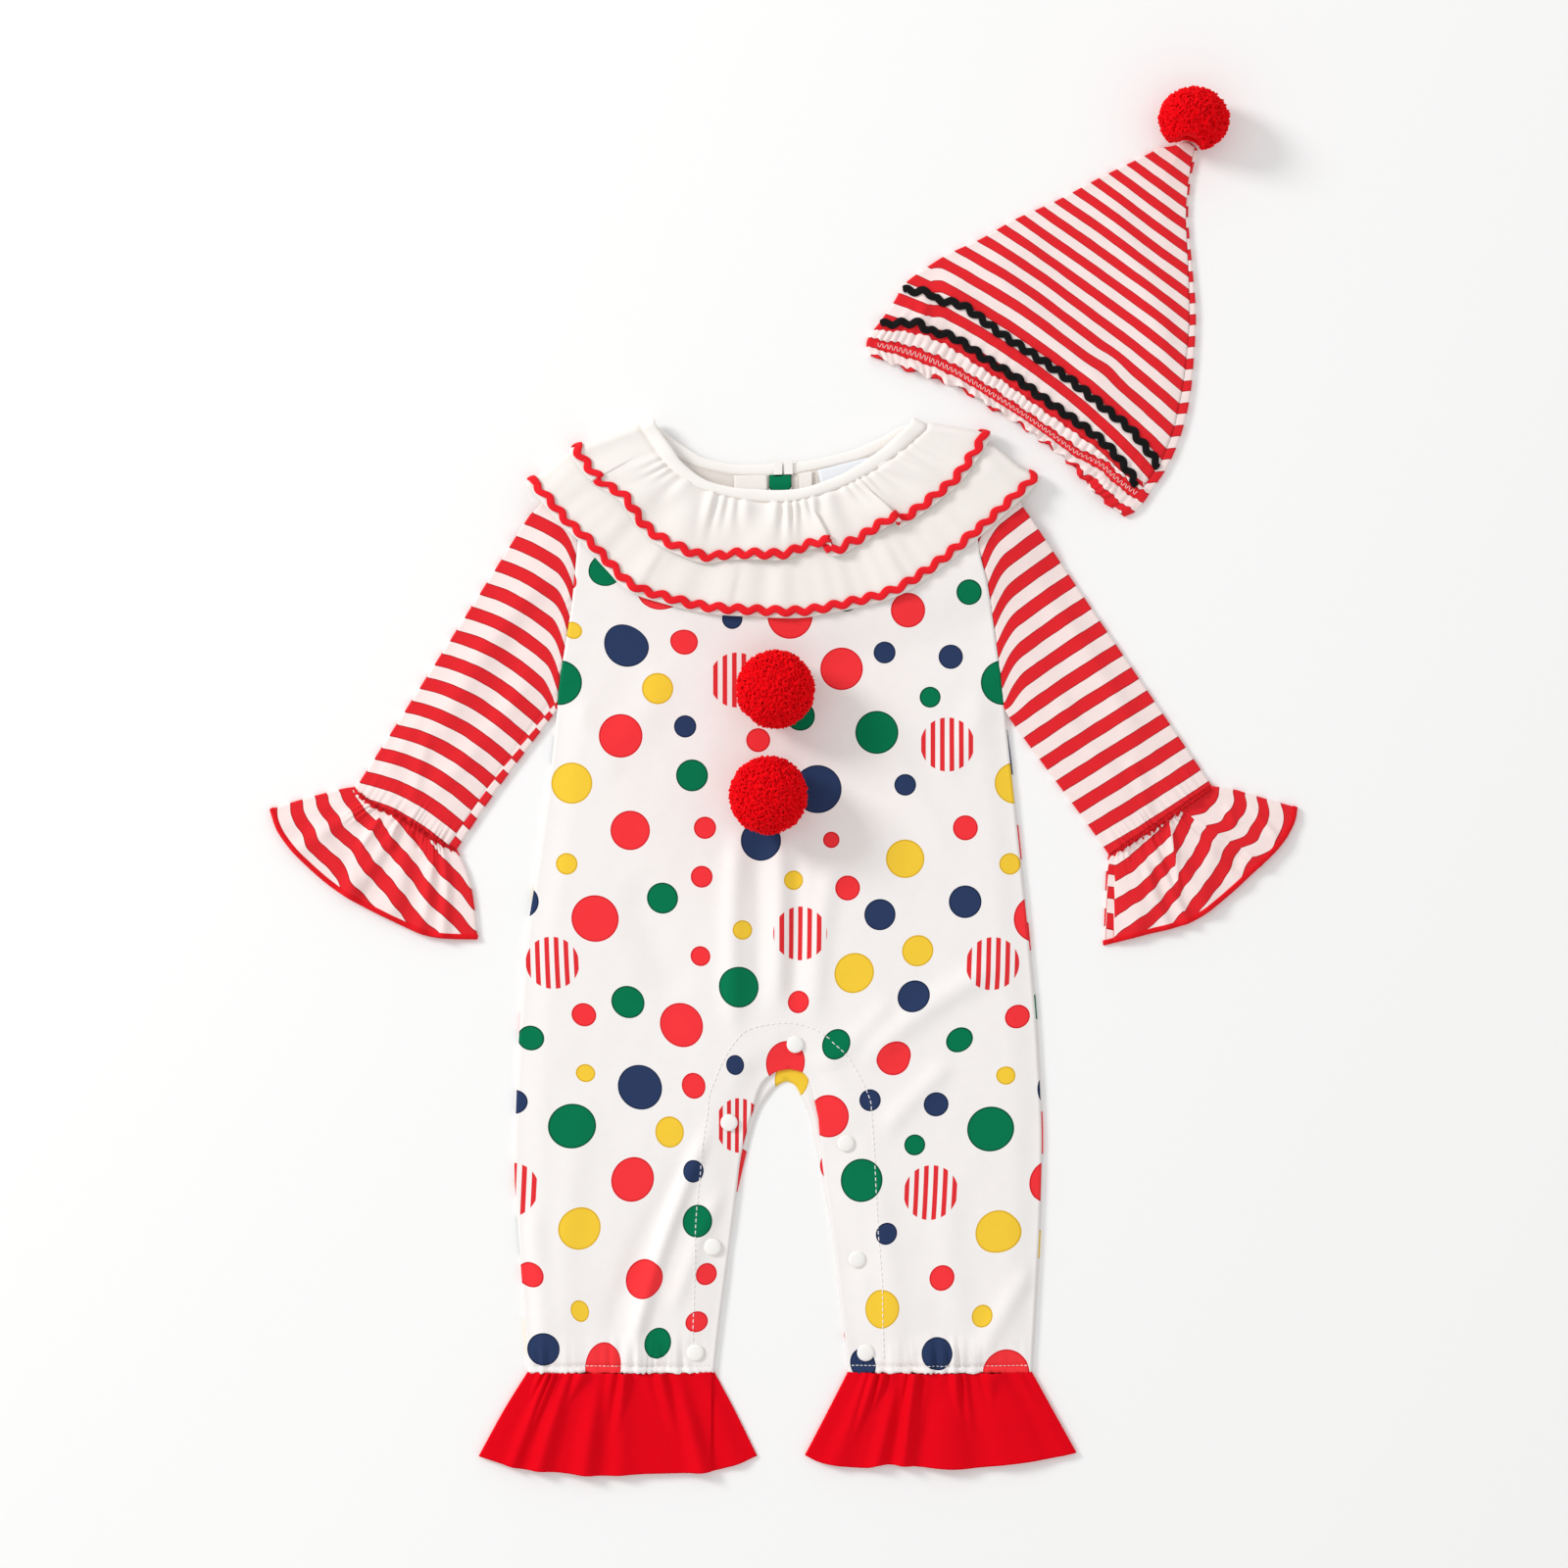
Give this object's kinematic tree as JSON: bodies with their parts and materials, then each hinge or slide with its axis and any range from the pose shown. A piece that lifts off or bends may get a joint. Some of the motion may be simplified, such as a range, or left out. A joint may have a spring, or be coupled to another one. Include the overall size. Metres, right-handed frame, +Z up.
{
  "type": "clown costume laid flat: baby romper with ruffled collar, and pointed hat",
  "caption": "Baby clown costume laid flat: dotted romper with tiered ruffle collar, striped sleeves, flared cuffs, gathered leg ruffles and pompoms, with a striped pointed hat beside it.",
  "frame": {"origin": "centre of the whole laid-out set's bounding box in plan, on the surface that it lies on", "axes": "+X to the right of the front as it is seen from above, +Y from the leg hems to the neck and the hat, +Z up from the surface"},
  "size_m": [0.5979, 0.8055, 0.0446],
  "materials": {
    "cloth_print": "soft matt cotton jersey printed with dots",
    "cloth_ivory": "matt ivory cotton",
    "cloth_binding": "matt white cotton binding",
    "cloth_stripe": "matt cotton jersey, red and white stripes",
    "cloth_red": "matt red cotton",
    "cloth_green": "matt printed cotton",
    "braid_red": "woven ric rac braid",
    "braid_black": "woven ric rac braid",
    "yarn_red": "fuzzy yarn",
    "label_tape": "smooth woven tape",
    "snap_plastic": "gloss white resin"
  },
  "bodies": {
    "root": {"back": "cloth_print", "collar_lower": "cloth_ivory", "collar_upper": "cloth_ivory", "cuff_left": "cloth_stripe", "cuff_right": "cloth_stripe", "front": "cloth_print", "hat_back": "cloth_stripe", "hat_band": "cloth_stripe", "hat_front": "cloth_stripe", "hat_pompom": "yarn_red", "hat_ricrac_1": "braid_black", "hat_ricrac_2": "braid_black", "label": "label_tape", "leg_ruffle_left": "cloth_red", "leg_ruffle_right": "cloth_red", "neck_binding": "cloth_binding", "pompom_bottom": "yarn_red", "pompom_top": "yarn_red", "ricrac_lower": "braid_red", "ricrac_upper": "braid_red", "sleeve_left": "cloth_stripe", "sleeve_right": "cloth_stripe", "snap_1": "snap_plastic", "snap_2": "snap_plastic", "snap_3": "snap_plastic", "snap_4": "snap_plastic", "snap_5": "snap_plastic", "snap_6": "snap_plastic", "snap_7": "snap_plastic", "underlap": "cloth_green"}
  },
  "joints": []
}
